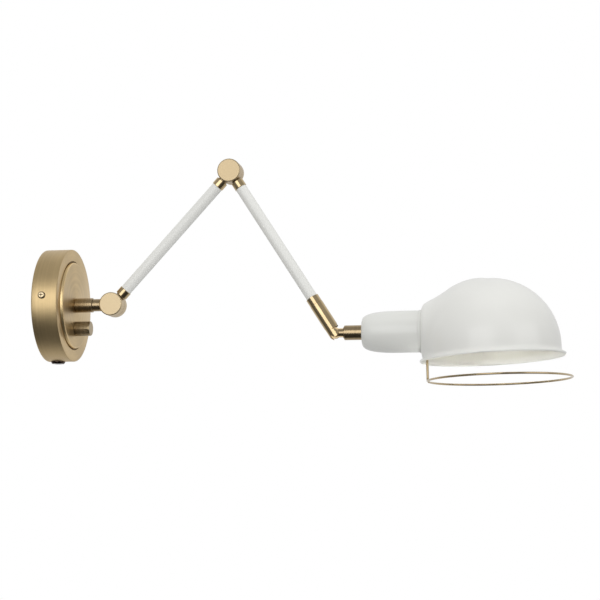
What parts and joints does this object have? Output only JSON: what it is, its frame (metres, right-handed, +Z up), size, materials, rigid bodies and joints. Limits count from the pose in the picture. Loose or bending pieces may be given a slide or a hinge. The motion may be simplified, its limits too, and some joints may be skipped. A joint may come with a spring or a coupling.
{
  "type": "articulating wall lamp",
  "caption": "Wall lamp with a round brass canopy and rotary switch, jointed straight white arms, and a swivelling dome shade with a wire ring guard hung below its rim.",
  "frame": {"origin": "middle of the canopy's back, on the wall, where the mounting bracket's screw pattern is centred", "axes": "+X out of the wall along the stem, +Z up, arms in the XZ plane in the pose shown"},
  "size_m": [0.5548, 0.1492, 0.2401],
  "materials": {
    "canopy_brass": "satin, lathe-brushed in circles and lacquered",
    "turned_brass": "satin, darker where it was turned",
    "knuckle_brass": "satin, pale on the flat faces",
    "polished_brass": "polished",
    "guard_brass": "satin drawn wire and screws",
    "white_enamel": "gloss white enamel on steel",
    "zinc_steel": "zinc plated",
    "ground_green": "green plated screw",
    "dark_bushing": "dark bronze finish",
    "black_phenolic": "moulded",
    "lead_insulation": "insulated leads",
    "connector_plastic": "moulded",
    "nylon": "natural",
    "porcelain": "glazed white",
    "socket_brass": "bright pressed shell",
    "ring_phenolic": "moulded, cream"
  },
  "bodies": {
    "wall_base": {"canopy": "canopy_brass", "canopy_inlet_panel": "canopy_brass", "mounting_bracket": "zinc_steel", "canopy_screws": "guard_brass", "ground_screw": "ground_green", "inlet_bushing": "dark_bushing", "inlet_nut": "zinc_steel", "switch_body": "black_phenolic", "switch_lock_washer": "zinc_steel", "switch_ring_nut": "turned_brass", "wire_connectors": "connector_plastic", "stem_boss": "turned_brass", "stem_backing_plate": "zinc_steel", "stem_nut": "zinc_steel"},
    "switch_knob": {"knob": "turned_brass", "switch_shaft": "zinc_steel"},
    "post": {"shoulder_post": "turned_brass", "shoulder_ferrule": "polished_brass", "base_spring_washer": "zinc_steel", "base_lock_nut": "zinc_steel", "shoulder_friction_washer": "nylon", "shoulder_stop_pin": "zinc_steel", "shoulder_spring_washer": "zinc_steel", "shoulder_hinge_screw": "zinc_steel"},
    "lower_arm": {"lower_arm_root": "knuckle_brass", "lower_root_ferrule": "polished_brass", "lower_tube": "white_enamel", "lower_tip_ferrule": "polished_brass", "lower_lead": "lead_insulation", "elbow_near_half": "knuckle_brass", "elbow_friction_washer": "nylon", "elbow_stop_pin": "zinc_steel", "elbow_spring_washer": "zinc_steel", "elbow_hinge_screw": "zinc_steel"},
    "upper_arm": {"elbow_far_half": "knuckle_brass", "upper_root_ferrule": "polished_brass", "upper_tube": "white_enamel", "upper_lead": "lead_insulation", "fork_ferrule": "polished_brass", "fork": "polished_brass", "pivot_pin": "polished_brass", "fork_washers": "nylon"},
    "tongue_body": {"tongue": "turned_brass", "head_spring_washer": "zinc_steel", "head_lock_nut": "zinc_steel"},
    "head": {"collar": "turned_brass", "socket_cup": "white_enamel", "cup_washer": "zinc_steel", "holder_cap": "black_phenolic", "holder_body": "porcelain", "holder_sleeve": "porcelain", "screw_shell": "socket_brass", "centre_contact": "socket_brass", "shade": "white_enamel", "shade_gasket": "nylon", "shade_ring": "ring_phenolic", "wire_guard": "guard_brass", "guard_hanger": "guard_brass"}
  },
  "joints": [
    {"name": "base_swivel", "type": "hinge", "parent": "wall_base", "child": "post", "pos_m": [0.049, 0, 0], "axis": [1, 0, 0], "range_deg": [-165, 165]},
    {"name": "shoulder_hinge", "type": "hinge", "parent": "post", "child": "lower_arm", "pos_m": [0.0709, 0, 0], "axis": [0, -1, 0], "range_deg": [-82, 47]},
    {"name": "elbow_hinge", "type": "hinge", "parent": "lower_arm", "child": "upper_arm", "pos_m": [0.19861, 0, 0.13986], "axis": [0, 1, 0], "range_deg": [-135, 15]},
    {"name": "head_tilt", "type": "hinge", "parent": "upper_arm", "child": "tongue_body", "pos_m": [0.3106, 0, -0.03458], "axis": [0, -1, 0], "range_deg": [-57, 32]},
    {"name": "head_swivel", "type": "hinge", "parent": "tongue_body", "child": "head", "pos_m": [0.33, 0, -0.03458], "axis": [1, 0, 0], "range_deg": [-165, 165]},
    {"name": "knob_turn", "type": "hinge", "parent": "wall_base", "child": "switch_knob", "pos_m": [0.03, 0, -0.025], "axis": [1, 0, 0], "range_deg": [0, 280]}
  ]
}
